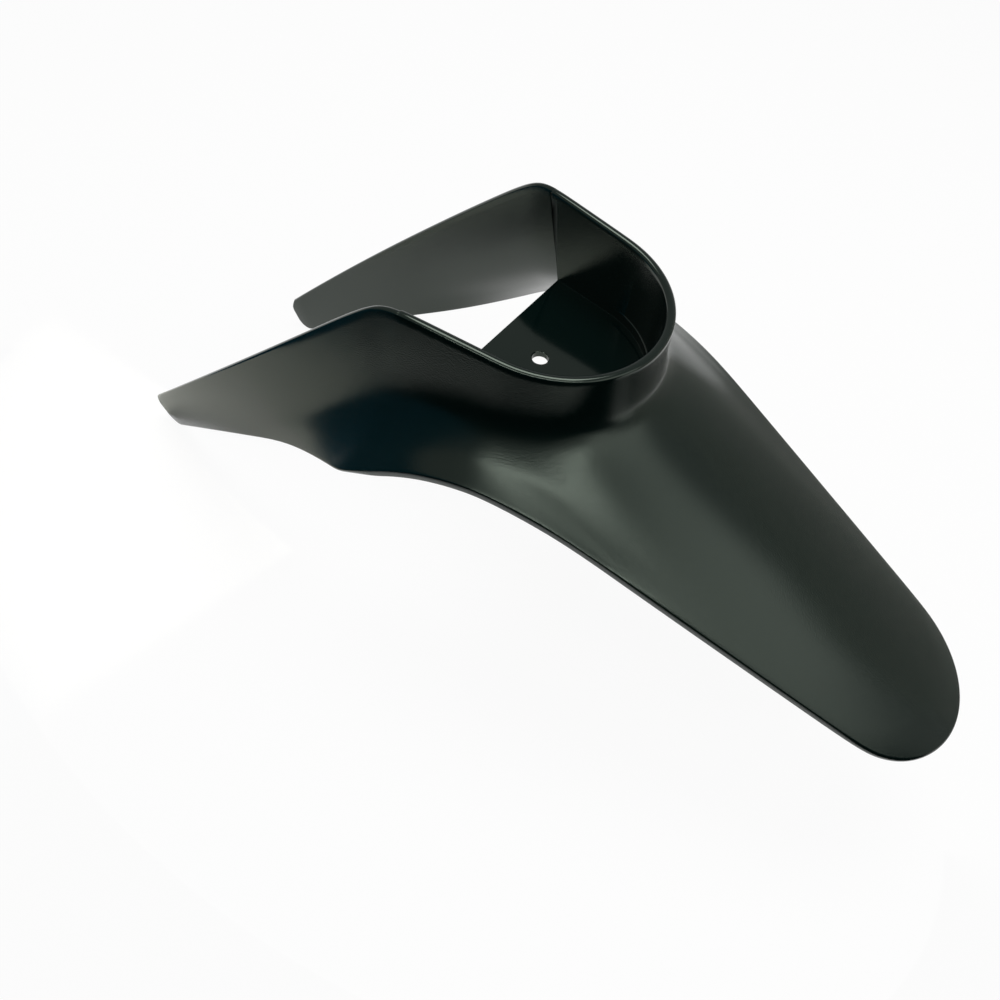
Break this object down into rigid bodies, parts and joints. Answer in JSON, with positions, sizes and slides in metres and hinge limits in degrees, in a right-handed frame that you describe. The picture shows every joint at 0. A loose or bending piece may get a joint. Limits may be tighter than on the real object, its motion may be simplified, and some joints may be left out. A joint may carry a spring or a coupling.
{
  "type": "front mudguard",
  "caption": "Moulded front mudguard with an arched round-tipped tongue, a U-shaped collar with a bolt hole in its floor, and long rear wings that straddle the wheel.",
  "frame": {"origin": "centre of the bolt hole on the upper face of the collar's floor", "axes": "+Z along the bolt, up into the fork crown; +X forward along the tongue; the part is mirror symmetric about Y = 0"},
  "size_m": [0.4166, 0.1455, 0.1769],
  "materials": {
    "black_plastic": "satin"
  },
  "bodies": {
    "root": {"mudguard": "black_plastic"}
  },
  "joints": []
}
